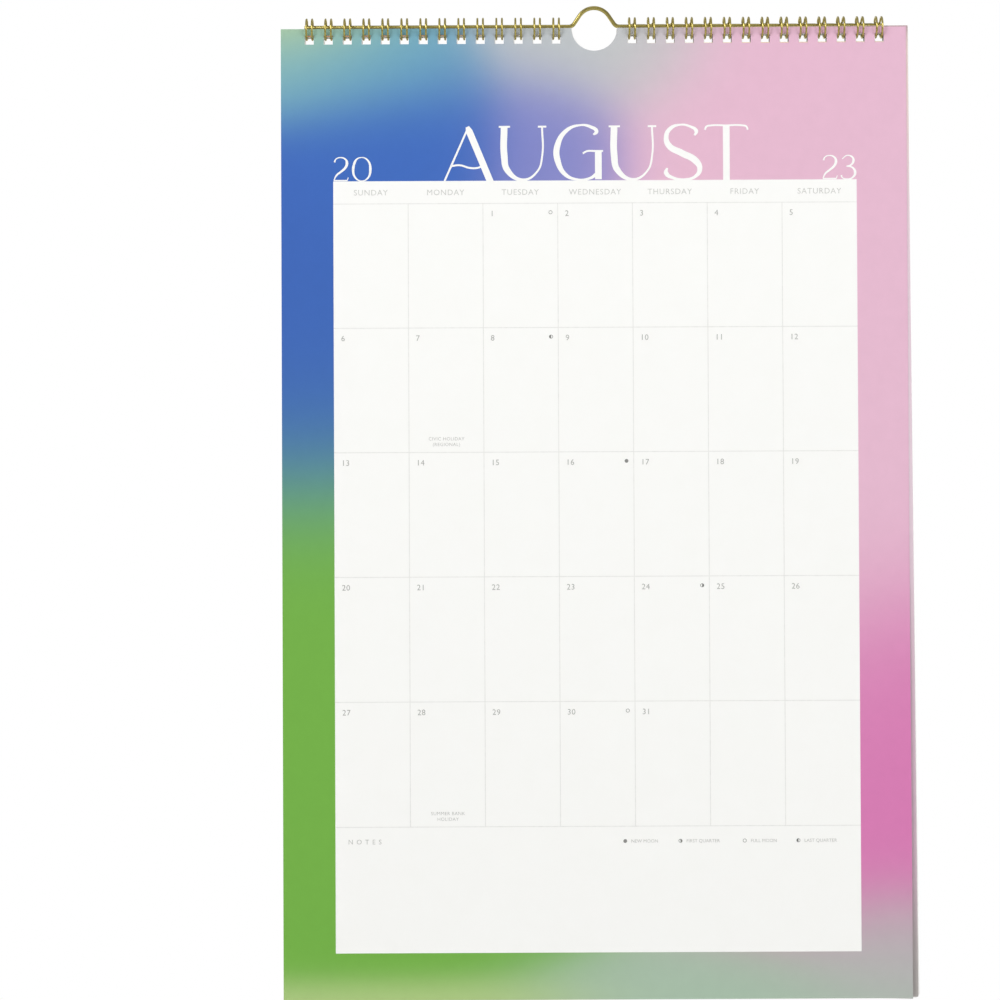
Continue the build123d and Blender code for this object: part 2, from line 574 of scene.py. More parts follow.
@dataclass
class HangerWire:
    """The wire that carries the calendar: straight, with a hump over the nail and rounded ends."""

    radius: float = 0.9 * MM
    hump_rise: float = 8.3 * MM
    hump_radius: float = 7.8 * MM
    fillet_radius: float = 3.0 * MM
    slope: float = 56.0  # of the hump's straight sides, in degrees
    end_round: float = 0.3 * MM
    end_segments: int = 3
    sides: int = 24
    fillet_steps: int = 10
    crown_steps: int = 28
    crease: float = 35.0  # edges sharper than this many degrees stay sharp

    def build(self) -> None:
        """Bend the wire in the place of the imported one."""
        low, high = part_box("hanger_wire")
        height = low.z + self.radius
        slope = math.radians(self.slope)
        bends = self.hump_radius + self.fillet_radius
        side = (self.hump_rise - bends * (1 - math.cos(slope))) / math.sin(slope)
        climb = Vector((side * math.cos(slope), 0, side * math.sin(slope)))
        foot = bends * math.sin(slope) + climb.x
        run = Vector((high.x - foot, 0, 0))
        bender = WireBender("hanger_wire_bent", self.radius, self.sides, Vector((low.x, 0, height)))
        bender.feed(run)
        pin_height = height + self.fillet_radius
        bender.bend(self.slope, Vector((-foot, 0, pin_height)), -TOWARDS_WALL, self.fillet_steps)
        bender.feed(climb)
        crown = Vector((0, 0, height + self.hump_rise - self.hump_radius))
        bender.bend(-2 * self.slope, crown, -TOWARDS_WALL, self.crown_steps)
        bender.feed(Vector((climb.x, 0, -climb.z)))
        bender.bend(self.slope, Vector((foot, 0, pin_height)), -TOWARDS_WALL, self.fillet_steps)
        bender.feed(run)
        wire = bender.release()
        self.round_ends(wire, high.x)
        smooth_by_angle(wire, self.crease)
        hand_over(wire, Body.HANGER, BrassPlatedWire(), ["hanger_wire"])

    def round_ends(self, wire: Object, half_length: float) -> None:
        """Close the wire's cut ends and round their rims.

        Args:
            wire: The wire.
            half_length: How far each end is from the middle.
        """
        with editing(wire):
            bpy.ops.mesh.fill_holes(sides=0)
            select_corners(wire, lambda place: abs(place.x) > half_length - TOLERANCE)
            bpy.ops.mesh.bevel(offset=self.end_round, segments=self.end_segments, affect="EDGES")
            bpy.ops.mesh.select_all(action="SELECT")
            bpy.ops.mesh.normals_make_consistent(inside=False)


@dataclass
class TwinLoopBinding:
    """The wires that hold the sheets: one wire a side, formed flat as a comb and rolled into rings."""

    wire_radius: float = 0.45 * MM
    gauge: float = 2.5 * MM  # between the two legs of a loop
    pitch: float = 25.4 / 3 * MM
    tip_gap: float = 0.2 * MM
    ring_fit: float = 0.2 * MM
    ring_above_edge: float = 0.1 * MM
    hole_top_margin: float = 2.95 * MM
    first_place: int = 2  # the places nearer to the middle are unpunched
    loops_per_side: int = 14
    left_seam_angle: float = 250.0  # from straight down, over the front and the top
    right_seam_angle: float = 241.0
    wire_sides: int = 10
    leg_steps: int = 44
    foot_steps: int = 5
    tip_steps: int = 10
    crease: float = 40.0  # edges sharper than this many degrees stay sharp

    def build(self) -> None:
        """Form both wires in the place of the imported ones."""
        pattern = self.form_loop()
        places = [(self.first_place + turn) * self.pitch for turn in range(self.loops_per_side)]
        left_places = [-place for place in reversed(places)]
        self.roll_wire("binding_wire_left", pattern, left_places, self.left_seam_angle)
        self.roll_wire("binding_wire_right", pattern, places, self.right_seam_angle)
        bpy.data.objects.remove(pattern)

    def ring_radius(self) -> float:
        """Work out the rings' size: they clear the paper over a hole at the stack's faces.

        Returns:
            Their radius to the wire's middle.
        """
        stack_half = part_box("backing_board")[1].y
        corner = math.hypot(stack_half, self.hole_top_margin + self.ring_above_edge)
        return corner + self.ring_fit + self.wire_radius

    def form_loop(self) -> Object:
        """Form one loop flat, with the half of the seam on each side of it.

        Returns:
            The loop: X runs along the seam, Y along the leg and Z out of the ring.
        """
        half = self.gauge / 2
        run = self.pitch / 2 - self.gauge
        reach = math.sqrt((self.gauge + 2 * self.wire_radius + self.tip_gap) ** 2 - self.gauge**2)
        leg = Vector((0, 2 * math.pi * self.ring_radius() - reach, 0))
        start = ACROSS * (-self.pitch / 2)
        bender = WireBender("loop_pattern", self.wire_radius, self.wire_sides, start)
        bender.feed(ACROSS * run)
        bender.bend(90, Vector((-self.gauge, half, 0)), UP, self.foot_steps)
        bender.feed(leg, self.leg_steps)
        bender.bend(-180, Vector((0, half, 0)) + leg, UP, self.tip_steps)
        bender.feed(-leg, self.leg_steps)
        bender.bend(90, Vector((self.gauge, half, 0)), UP, self.foot_steps)
        bender.feed(ACROSS * run)
        return bender.release()

    def roll_wire(
        self, node: str, pattern: Object, places: Sequence[float], seam_angle: float
    ) -> None:
        """Join loops into one wire and roll it round the sheets' edge.

        Args:
            node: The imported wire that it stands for.
            pattern: One flat loop.
            places: The loops' places across the calendar, from left to right.
            seam_angle: Where the seam lies on the ring, in degrees.
        """
        loops = []
        for place in places:
            loop = copy_piece(pattern, "loop")
            loop.data.transform(Matrix.Translation(ACROSS * place))
            loops.append(loop)
        wire = join_pieces(loops, f"{node}_rolled")
        merge_and_face_out(wire)
        self.cut_ends(wire, places[0], places[-1])
        radius = self.ring_radius()
        centre_height = SHEET_HIGH.z + self.ring_above_edge
        for corner in wire.data.vertices:
            across, along, out = corner.co
            turn = math.radians(seam_angle) + along / radius
            reach = radius + out
            corner.co = (across, -reach * math.sin(turn), centre_height - reach * math.cos(turn))
        merge_and_face_out(wire)
        smooth_by_angle(wire, self.crease)
        hand_over(wire, Body.CALENDAR, BrassPlatedWire(), [node])

    def cut_ends(self, wire: Object, first: float, last: float) -> None:
        """Cut the wire off where its first leg starts and its last leg ends, and close the cuts.

        Args:
            wire: The flat wire.
            first: The first loop's place.
            last: The last loop's place.
        """
        cut = self.gauge / 2 - TOLERANCE
        with editing(wire):
            select_corners(wire, lambda place: place.y < cut and not first < place.x < last)
            bpy.ops.mesh.delete(type="VERT")
            bpy.ops.mesh.select_all(action="SELECT")
            bpy.ops.mesh.fill_holes(sides=0)


@dataclass
class Punch:
    """The tool that punches the square holes and the half-moon notch through a sheet."""

    binding: TwinLoopBinding
    hole_size: float = 4.0 * MM
    notch_radius: float = 10.2 * MM
    notch_sides: int = 96
    depth: float = 12 * MM

    def tool(self) -> Object:
        """Make the punch: one pin, repeated along the edge and mirrored, and the notch's round die.

        Returns:
            The punch, in place over the stack.
        """
        height = SHEET_HIGH.z - self.binding.hole_top_margin - self.hole_size / 2
        place = (self.binding.first_place * self.binding.pitch, 0, height)
        size = (self.hole_size, self.depth, self.hole_size)
        pins = add_shape("punch_pins", bpy.ops.mesh.primitive_cube_add, size=1, location=place, scale=size)
        row = {
            "count": self.binding.loops_per_side,
            "use_relative_offset": False,
            "use_constant_offset": True,
            "constant_offset_displace": (self.binding.pitch, 0, 0),
        }
        use_modifier(pins, "ARRAY", row)
        use_modifier(pins, "MIRROR", {"use_mirror_merge": False})
        disc = {"vertices": self.notch_sides, "radius": self.notch_radius, "depth": self.depth}
        stance = {"location": (0, 0, SHEET_HIGH.z), "rotation": FACING_READER}
        die = add_shape("punch_die", bpy.ops.mesh.primitive_cylinder_add, **disc, **stance)
        punch = join_pieces([pins, die], "punch")
        merge_and_face_out(punch)
        return punch


@dataclass
class SheetCutter:
    """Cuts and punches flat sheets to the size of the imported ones."""

    punch: Object

    def sheet(self, name: str, front: float, back: float, trim: float = 0.0) -> Object:
        """Make one punched sheet.

        Args:
            name: Its name.
            front: The depth of its face.
            back: The depth of its back.
            trim: How much narrower it is cut on the right.

        Returns:
            The sheet.
        """
        right = SHEET_HIGH.x - trim
        middle = ((SHEET_LOW.x + right) / 2, (front + back) / 2, (SHEET_LOW.z + SHEET_HIGH.z) / 2)
        size = (right - SHEET_LOW.x, back - front, SHEET_HIGH.z - SHEET_LOW.z)
        piece = add_shape(name, bpy.ops.mesh.primitive_cube_add, size=1, location=middle, scale=size)
        use_modifier(piece, "BOOLEAN", {"object": self.punch, "operation": "DIFFERENCE", "solver": "EXACT"})
        return piece

    def score(self, piece: Object, places: Sequence[float], normal: Vector) -> None:
        """Divide a sheet's faces along straight lines, with nothing taken away.

        Args:
            piece: The sheet.
            places: Where the lines lie along the normal.
            normal: The direction across the lines.
        """
        with editing(piece):
            for place in places:
                bpy.ops.mesh.select_all(action="SELECT")
                bpy.ops.mesh.bisect(plane_co=normal * place, plane_no=normal)


@dataclass(frozen=True)
class DatePanel:
    """The unprinted panel of a month page and its ruled rows and columns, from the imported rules."""

    left: float = RULES_LOW.x
    right: float = RULES_HIGH.x
    top: float = SHEET_HIGH.z - 68.1 * MM
    bottom: float = SHEET_LOW.z + 20.8 * MM
    heading_row: float = 10.1 * MM
    last_row: float = RULES_LOW.z  # the line under the last week
    rows: int = 5
    columns: int = 7

    @property
    def first_row(self) -> float:
        """The line under the weekday names."""
        return self.top - self.heading_row

    @property
    def row_height(self) -> float:
        """The height of a week's row."""
        return (self.first_row - self.last_row) / self.rows

    @property
    def column_width(self) -> float:
        """The width of a day's column."""
        return (self.right - self.left) / self.columns


@dataclass
class DisplayLetter:
    """A tall letter of thick and thin strokes, drawn on a grid one cap height high."""

    advance: float
    strokes: tuple[tuple[tuple[float, float, float], ...], ...]  # across, up and the stroke's width


DISPLAY_GAP = 0.09  # the room after a display letter, part of its advance
THICK = 0.122
THIN = 0.034
MIDDLING = 0.07

STEM_LEFT = ((0.10, 1.0, THICK), (0.10, 0.0, THICK))
SERIF_TOP_LEFT = ((0.0, 0.985, THIN), (0.2, 0.985, THIN))
UPPER_BOWL = (
    (0.10, 0.985, THIN), (0.33, 0.98, THIN), (0.52, 0.90, MIDDLING), (0.60, 0.745, THICK * 0.9),
    (0.52, 0.59, MIDDLING), (0.33, 0.515, THIN), (0.10, 0.51, THIN),
)

DISPLAY_LETTERS = {
    "A": DisplayLetter(0.96, (
        ((0.0, 0.0, THIN), (0.40, 0.925, THIN)),
        ((0.405, 0.985, MIDDLING), (0.44, 0.90, THICK), (0.815, -0.035, THICK)),
        (
            (0.12, 0.27, THIN), (0.27, 0.285, THIN), (0.45, 0.235, THIN), (0.60, 0.24, THIN),
            (0.66, 0.27, THIN),
        ),
    )),
    "B": DisplayLetter(0.80, (STEM_LEFT, SERIF_TOP_LEFT, UPPER_BOWL, (
        (0.10, 0.51, THIN), (0.36, 0.505, THIN), (0.58, 0.42, MIDDLING), (0.66, 0.26, THICK * 0.9),
        (0.58, 0.09, MIDDLING), (0.36, 0.017, THIN), (0.10, 0.017, THIN),
    ))),
    "E": DisplayLetter(0.72, (
        STEM_LEFT,
        ((0.0, 0.983, THIN), (0.54, 0.983, THIN)),
        ((0.54, 0.983, THIN), (0.57, 0.90, THIN)),
        ((0.10, 0.52, THIN), (0.42, 0.52, THIN)),
        ((0.0, 0.017, THIN), (0.56, 0.017, THIN)),
        ((0.56, 0.017, THIN), (0.60, 0.12, THIN)),
    )),
    "G": DisplayLetter(0.97, (
        (
            (0.70, 0.83, THIN), (0.755, 0.89, MIDDLING), (0.65, 0.975, MIDDLING * 0.8), (0.47, 1.007, THIN),
            (0.22, 0.905, MIDDLING), (0.06, 0.62, THICK * 0.9), (0.065, 0.37, THICK * 0.9),
            (0.21, 0.10, MIDDLING), (0.44, 0.015, THIN), (0.64, 0.04, THIN * 1.4), (0.76, 0.12, MIDDLING),
        ),
        ((0.785, 0.53, THICK), (0.785, 0.02, THICK)),
        ((0.51, 0.49, THIN), (0.58, 0.53, THIN), (0.72, 0.535, THIN), (0.87, 0.535, THIN)),
    )),
    "M": DisplayLetter(1.08, (
        ((0.08, 0.0, THIN), (0.10, 0.98, THIN)),
        ((0.10, 0.98, THICK * 0.8), (0.47, 0.06, THICK * 0.8)),
        ((0.47, 0.04, THIN), (0.83, 0.98, THIN)),
        ((0.86, 0.98, THICK), (0.88, 0.0, THICK)),
    )),
    "P": DisplayLetter(0.76, (STEM_LEFT, SERIF_TOP_LEFT, UPPER_BOWL)),
    "R": DisplayLetter(0.84, (
        STEM_LEFT,
        SERIF_TOP_LEFT,
        UPPER_BOWL,
        ((0.36, 0.51, MIDDLING), (0.50, 0.32, THICK * 0.8), (0.66, 0.08, THICK * 0.8), (0.78, 0.0, THIN)),
    )),
    "S": DisplayLetter(0.71, ((
        (0.545, 0.81, THIN), (0.575, 0.89, MIDDLING), (0.46, 0.977, THIN * 1.3), (0.30, 1.007, THIN),
        (0.12, 0.94, MIDDLING), (0.045, 0.795, MIDDLING * 1.2), (0.09, 0.63, THICK * 0.9),
        (0.32, 0.49, THICK), (0.56, 0.35, THICK), (0.635, 0.20, MIDDLING * 1.3),
        (0.55, 0.06, MIDDLING * 0.8), (0.36, 0.012, THIN), (0.16, 0.04, MIDDLING * 0.8),
        (0.04, 0.13, MIDDLING * 1.2), (0.06, 0.22, THIN),
    ),)),
    "T": DisplayLetter(0.84, (
        ((0.02, 0.91, THIN), (0.045, 0.97, THIN), (0.12, 0.99, THIN), (0.39, 0.99, THIN)),
        ((0.39, 0.99, THIN), (0.68, 0.99, THIN), (0.75, 0.97, THIN), (0.775, 0.91, THIN)),
        ((0.395, 0.99, THICK), (0.395, 0.0, THICK)),
    )),
    "U": DisplayLetter(0.97, (
        (
            (0.095, 0.98, THICK), (0.095, 0.45, THICK), (0.15, 0.19, THICK * 0.9), (0.42, 0.015, THIN * 1.4),
            (0.68, 0.17, THIN), (0.765, 0.45, THIN), (0.765, 0.98, THIN),
        ),
        ((0.0, 0.982, THIN), (0.20, 0.982, THIN)),
        ((0.69, 0.982, THIN), (0.84, 0.982, THIN)),
    )),
    "0": DisplayLetter(0.88, ((
        (0.16, 0.87, MIDDLING), (0.055, 0.5, THICK * 0.85), (0.16, 0.13, MIDDLING), (0.40, 0.015, THIN),
        (0.64, 0.13, MIDDLING), (0.745, 0.5, THICK * 0.85), (0.64, 0.87, MIDDLING), (0.40, 0.985, THIN),
        (0.16, 0.87, MIDDLING), (0.055, 0.5, THICK * 0.85),
    ),)),
    "2": DisplayLetter(0.74, (
        (
            (0.05, 0.79, MIDDLING), (0.11, 0.92, THIN * 1.3), (0.29, 0.985, THIN * 1.3),
            (0.48, 0.92, MIDDLING), (0.55, 0.76, THICK * 0.9), (0.48, 0.56, THICK * 0.8),
            (0.31, 0.40, MIDDLING * 1.2), (0.13, 0.25, MIDDLING), (0.02, 0.04, THIN),
        ),
        ((0.02, 0.035, THIN * 1.5), (0.56, 0.035, THIN * 1.5)),
        ((0.56, 0.035, THIN), (0.60, 0.16, THIN)),
    )),
    "3": DisplayLetter(0.72, (
        (
            (0.06, 0.84, THIN), (0.26, 0.985, THIN * 1.3), (0.47, 0.91, MIDDLING),
            (0.51, 0.77, THICK * 0.8), (0.42, 0.60, MIDDLING), (0.22, 0.54, THIN),
        ),
        (
            (0.22, 0.54, THIN), (0.46, 0.49, MIDDLING), (0.575, 0.29, THICK * 0.9), (0.49, 0.09, MIDDLING),
            (0.27, 0.012, THIN * 1.3), (0.05, 0.08, THIN * 1.3), (0.02, 0.17, MIDDLING),
        ),
    )),
}


@dataclass
class Lettering:
    """Prints words, numbers and marks as thin films of ink on a page's face."""

    page_face: float  # the depth of the page's face
    film: float = 0.02 * MM
    cap_share: float = 0.7  # a capital's height over the plain face's type size
    display_width: float = 1.03  # how much a tall letter is widened
    display_steps: int = 8  # between two points of a tall letter's curve
    display_rounding: int = 2  # of a stroke's section, before it is flattened
    plain_steps: int = 3  # between two points of the plain face's curves
    moon_sides: int = 20
    moon_ring: float = 0.72  # the hole's radius over the mark's, where the moon is lit
    marks: list[Object] = field(default_factory=list)

    def plain(
        self,
        words: str,
        cap_height: float,
        across: float,
        height: float,
        align: str = "CENTER",
        spacing: float = 1.0,
    ) -> None:
        """Set words in a plain face.

        Args:
            words: The words.
            cap_height: The height of a capital.
            across: The place across, of the end or middle that align names.
            height: The height of the baseline.
            align: LEFT, CENTER or RIGHT.
            spacing: The room between letters, over the usual.
        """
        place = (across, self.page_face - self.film / 2, height)
        bpy.ops.object.select_all(action="DESELECT")
        bpy.ops.object.text_add(location=place, rotation=FACING_READER)
        text = bpy.context.object
        text.data.body = words
        text.data.size = cap_height / self.cap_share
        text.data.align_x = align
        text.data.space_character = spacing
        text.data.resolution_u = self.plain_steps
        text.data.extrude = self.film / 2
        bpy.ops.object.convert(target="MESH")
        self.keep(bpy.context.object)

    def display(
        self, word: str, cap_height: float, across: float, height: float, align: str = "CENTER"
    ) -> None:
        """Draw a word in tall letters of thick and thin strokes.

        Args:
            word: The word, in letters that DISPLAY_LETTERS has.
            cap_height: The height of a capital.
            across: The place across, of the end or middle that align names.
            height: The height of the baseline.
            align: LEFT, CENTER or RIGHT.
        """
        letters = [DISPLAY_LETTERS[letter] for letter in word]
        width = cap_height * self.display_width
        length = (sum(letter.advance for letter in letters) - DISPLAY_GAP) * width
        pen = across - {"LEFT": 0.0, "CENTER": 0.5, "RIGHT": 1.0}[align] * length
        for letter in letters:
            for stroke in letter.strokes:
                self.stroke(stroke, cap_height, pen, height)
            pen += letter.advance * width

    def stroke(
        self, points: Sequence[tuple[float, float, float]], cap_height: float, across: float, height: float
    ) -> None:
        """Draw one stroke of a tall letter as a flattened tube that swells and thins.

        Args:
            points: The stroke's points and widths, over the cap height.
            cap_height: The height of a capital.
            across: The letter's left side.
            height: The letter's baseline.
        """
        bpy.ops.object.select_all(action="DESELECT")
        bpy.ops.curve.primitive_bezier_curve_add()
        pen = bpy.context.object
        spline = pen.data.splines[0]
        spline.bezier_points.add(len(points) - 2)
        for knot, (x, y, thickness) in zip(spline.bezier_points, points):
            knot.co = (x * cap_height * self.display_width, y * cap_height, 0)
            knot.radius = thickness
            knot.handle_left_type = "AUTO"
            knot.handle_right_type = "AUTO"
        spline.resolution_u = self.display_steps if len(points) > 2 else 1
        pen.data.dimensions = "2D"
        pen.data.bevel_depth = cap_height / 2
        pen.data.bevel_resolution = self.display_rounding
        pen.data.use_fill_caps = True
        bpy.ops.object.convert(target="MESH")
        film = bpy.context.object
        flatness = self.film / (THICK * cap_height)
        for corner in film.data.vertices:
            corner.co.z *= flatness
        film.rotation_euler = FACING_READER
        film.location = (across, self.page_face - self.film / 2, height)
        self.keep(film)

    def moon(self, phase: MoonPhase, radius: float, across: float, height: float) -> None:
        """Print a moon mark: a ring, filled all over, on one half or not at all.

        Args:
            phase: The moon's phase.
            radius: The mark's radius.
            across: Its middle, across.
            height: Its middle, up.
        """
        middle = (across, self.page_face - self.film / 2, height)
        lit_side = {MoonPhase.FIRST_QUARTER: -1, MoonPhase.LAST_QUARTER: 1}.get(phase, 0)
        if phase is not MoonPhase.NEW:
            self.disc(radius, middle, self.moon_ring)
        if phase is not MoonPhase.FULL:
            self.disc(radius, middle, lit_side=lit_side)

    def disc(
        self, radius: float, middle: Sequence[float], ring_share: float = 0.0, lit_side: int = 0
    ) -> None:
        """Print a disc, a ring or half a disc.

        Args:
            radius: Its radius.
            middle: Its middle.
            ring_share: The hole's radius over the ring's, or 0 for a disc.
            lit_side: The side that is left unprinted: -1 left, 1 right or 0 neither.
        """
        round_face = {"vertices": self.moon_sides, "radius": radius, "fill_type": "NGON"}
        mark = add_shape("moon_mark", bpy.ops.mesh.primitive_circle_add, **round_face)
        with editing(mark):
            if ring_share:
                bpy.ops.mesh.inset(thickness=radius * (1 - ring_share))
                bpy.ops.mesh.delete(type="FACE")
            if lit_side:
                bpy.ops.mesh.bisect(plane_co=(0, 0, 0), plane_no=(lit_side, 0, 0), clear_outer=True)
        use_modifier(mark, "SOLIDIFY", {"thickness": self.film, "offset": 0.0})
        mark.rotation_euler = FACING_READER
        mark.location = middle
        self.keep(mark)

    def keep(self, mark: Object) -> None:
        """Settle a finished mark, already a mesh, and keep it for the film of ink."""
        place_in_mesh(mark)
        self.marks.append(mark)

    def lay(self, name: str) -> Object:
        """Join the marks that were printed since the last time.

        Args:
            name: The film's name.

        Returns:
            The film of ink.
        """
        film = join_pieces(self.marks, name)
        self.marks = []
        merge_and_face_out(film)
        bpy.ops.object.shade_flat()
        return film


@dataclass
class MonthPage:
    """A month's page: a punched sheet with a blended border, a ruled date panel and its lettering."""

    month: str
    first_weekday: int  # the column of the first day, with Sunday as 0
    days: int
    moons: dict[int, MoonPhase]
    holidays: dict[int, tuple[str, str]]
    fields: tuple[ColourField, ...]
    body: Body
    front: float
    back: float
    turn: float = 0.0  # the page's lean about the middle of its top edge, in degrees
    trim: float = 0.0  # how much narrower the sheet is cut on the right
    curl: float = 0.0  # how far the lower right corner lifts off the sheets behind
    curl_start: float = 1.5 * MM  # from the panel's right side
    curl_share: float = 0.55  # of the sheet's height, from its foot
    curl_columns: int = 12
    curl_rows: int = 24
    crease: float = 30.0  # edges sharper than this many degrees stay sharp
    printed_normal: float = -0.8  # a face that looks at the reader has a normal's Y below this
    year: tuple[str, str] = ("20", "23")
    panel: DatePanel = DatePanel()
    heading_cap: float = 24.5 * MM
    heading_shift: float = 0.3 * MM  # the heading stands a little right of the panel's middle
    year_cap: float = 10.8 * MM
    weekday_cap: float = 2.5 * MM
    weekday_spacing: float = 1.12
    number_cap: float = 2.5 * MM
    number_spacing: float = 1.08
    cell_inset: float = 3.2 * MM
    moon_radius: float = 0.85 * MM
    small_cap: float = 1.45 * MM
    holiday_baselines: tuple[float, float] = (5.4 * MM, 2.9 * MM)  # over the foot of the day's cell
    holiday_spacing: float = 1.1
    notes_cap: float = 2.1 * MM
    notes_inset: float = 5.6 * MM
    notes_drop: float = 7.4 * MM  # from the last row's line to the baseline
    notes_spacing: float = 1.9
    legend_drop: float = 6.4 * MM  # from the last row's line to the marks' middles
    legend_places: tuple[float, ...] = (12.0 * MM, 36.5 * MM, 65.0 * MM, 88.8 * MM)  # of the marks, across
    legend_gap: float = 2.6 * MM  # from a mark's middle to its caption

    def build(self, cutter: SheetCutter, slot: Slot, replaces: Sequence[str]) -> None:
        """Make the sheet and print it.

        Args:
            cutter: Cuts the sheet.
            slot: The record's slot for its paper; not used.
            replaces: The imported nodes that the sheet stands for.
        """
        key = self.month.lower()
        sheet = cutter.sheet(f"{key}_sheet", self.front, self.back, self.trim)
        cutter.score(sheet, (self.panel.left, self.panel.right), ACROSS)
        cutter.score(sheet, (self.panel.bottom, self.panel.top), UP)
        if self.curl:
            self.lift_corner(sheet, cutter)
        self.colour_faces(sheet)
        self.lean(sheet)
        hand_over(sheet, self.body, replaces=replaces)
        for name, put, ink_slot, ink in (
            ("heading", self.heading, slot, WovePaper()),
            ("weekdays", self.weekdays, Slot.RULES, FlatInk("pale_grey_ink", "#C6C6C3", "#D2D2CE")),
            ("numbers", self.numbers, Slot.RULES, FlatInk("mid_grey_ink", "#A3A3A0", "#B4B4B0")),
            ("moon_marks", self.moon_marks, Slot.RULES, FlatInk("dark_grey_ink", "#7C7C7A", "#8E8E8B")),
            ("small_print", self.small_print, Slot.RULES, FlatInk("light_grey_ink", "#B4B4B1", "#C4C4C0")),
        ):
            lettering = Lettering(self.front)
            put(lettering)
            film = lettering.lay(f"{key}_{name}")
            self.lean(film)
            hand_over(film, self.body, ink)

    def lift_corner(self, sheet: Object, cutter: SheetCutter) -> None:
        """Curl the sheet's lower right margin towards the reader, as handled paper does.

        Args:
            sheet: The sheet.
            cutter: Divides its faces, so that they can bend.
        """
        left = self.panel.right + self.curl_start
        width = SHEET_HIGH.x - left
        foot = SHEET_LOW.z
        height = self.curl_share * (SHEET_HIGH.z - foot)
        columns = [left + step * width / self.curl_columns for step in range(self.curl_columns)]
        rows = [foot + (step + 1) * height / self.curl_rows for step in range(self.curl_rows)]
        cutter.score(sheet, columns, ACROSS)
        cutter.score(sheet, rows, UP)
        for corner in sheet.data.vertices:
            out = max(0.0, (corner.co.x - left) / width)
            down = max(0.0, (foot + height - corner.co.z) / height)
            corner.co.y -= self.curl * out**2 * down**2 * (3 - 2 * down)
        smooth_by_angle(sheet, self.crease)

    def colour_faces(self, sheet: Object) -> None:
        """Give the border's faces the print, and the panel, the back and the edges bare paper.

        Args:
            sheet: The sheet.
        """
        border = BlendedPrint(f"{self.month.lower()}_blended_print", fields=self.fields)
        sheet.data.materials.append(WovePaper().material())
        sheet.data.materials.append(border.material())
        for face in sheet.data.polygons:
            in_columns = self.panel.left < face.center.x < self.panel.right
            in_rows = self.panel.bottom < face.center.z < self.panel.top
            in_front = face.normal.y < self.printed_normal
            face.material_index = int(in_front and not (in_columns and in_rows))

    def lean(self, piece: Object) -> None:
        """Let a piece of the page hang a little askew on the binding."""
        piece.data.transform(leaning(self.turn, 0.0))

    def heading(self, lettering: Lettering) -> None:
        """Draw the month and the year, left unprinted so that the paper shows.

        Args:
            lettering: Takes the marks.
        """
        lettering.display(self.month, self.heading_cap, self.heading_shift, self.panel.top)
        lettering.display(self.year[0], self.year_cap, self.panel.left, self.panel.top, "LEFT")
        lettering.display(self.year[1], self.year_cap, self.panel.right, self.panel.top, "RIGHT")

    def weekdays(self, lettering: Lettering) -> None:
        """Set the names of the weekdays over their columns.

        Args:
            lettering: Takes the marks.
        """
        names = ("SUNDAY", "MONDAY", "TUESDAY", "WEDNESDAY", "THURSDAY", "FRIDAY", "SATURDAY")
        baseline = (self.panel.top + self.panel.first_row - self.weekday_cap) / 2
        for column, name in enumerate(names):
            middle = self.panel.left + (column + 0.5) * self.panel.column_width
            lettering.plain(name, self.weekday_cap, middle, baseline, spacing=self.weekday_spacing)

    def cell(self, day: int) -> tuple[float, float]:
        """Find a day's cell.

        Args:
            day: The day of the month.

        Returns:
            Its left side and its top.
        """
        row, column = divmod(self.first_weekday + day - 1, self.panel.columns)
        left = self.panel.left + column * self.panel.column_width
        return left, self.panel.first_row - row * self.panel.row_height

    def numbers(self, lettering: Lettering) -> None:
        """Set the numbers of the days.

        Args:
            lettering: Takes the marks.
        """
        for day in range(1, self.days + 1):
            left, top = self.cell(day)
            place = (left + self.cell_inset, top - self.cell_inset - self.number_cap)
            lettering.plain(str(day), self.number_cap, *place, "LEFT", self.number_spacing)

    def moon_marks(self, lettering: Lettering) -> None:
        """Print the moon marks in their days and in the legend.

        Args:
            lettering: Takes the marks.
        """
        for day, phase in self.moons.items():
            left, top = self.cell(day)
            across = left + self.panel.column_width - self.cell_inset
            lettering.moon(phase, self.moon_radius, across, top - self.cell_inset - self.moon_radius)
        for phase, across in zip(MoonPhase, self.legend_places):
            lettering.moon(phase, self.moon_radius, across, self.panel.last_row - self.legend_drop)

    def small_print(self, lettering: Lettering) -> None:
        """Set the holidays, the heading of the notes and the captions of the legend.

        Args:
            lettering: Takes the marks.
        """
        for day, lines in self.holidays.items():
            left, top = self.cell(day)
            middle = left + self.panel.column_width / 2
            foot = top - self.panel.row_height
            for line, rise in zip(lines, self.holiday_baselines):
                lettering.plain(line, self.small_cap, middle, foot + rise, spacing=self.holiday_spacing)
        place = (self.panel.left + self.notes_inset, self.panel.last_row - self.notes_drop)
        lettering.plain("NOTES", self.notes_cap, *place, "LEFT", self.notes_spacing)
        baseline = self.panel.last_row - self.legend_drop - self.small_cap / 2
        for phase, across in zip(MoonPhase, self.legend_places):
            lettering.plain(phase.value, self.small_cap, across + self.legend_gap, baseline, "LEFT")


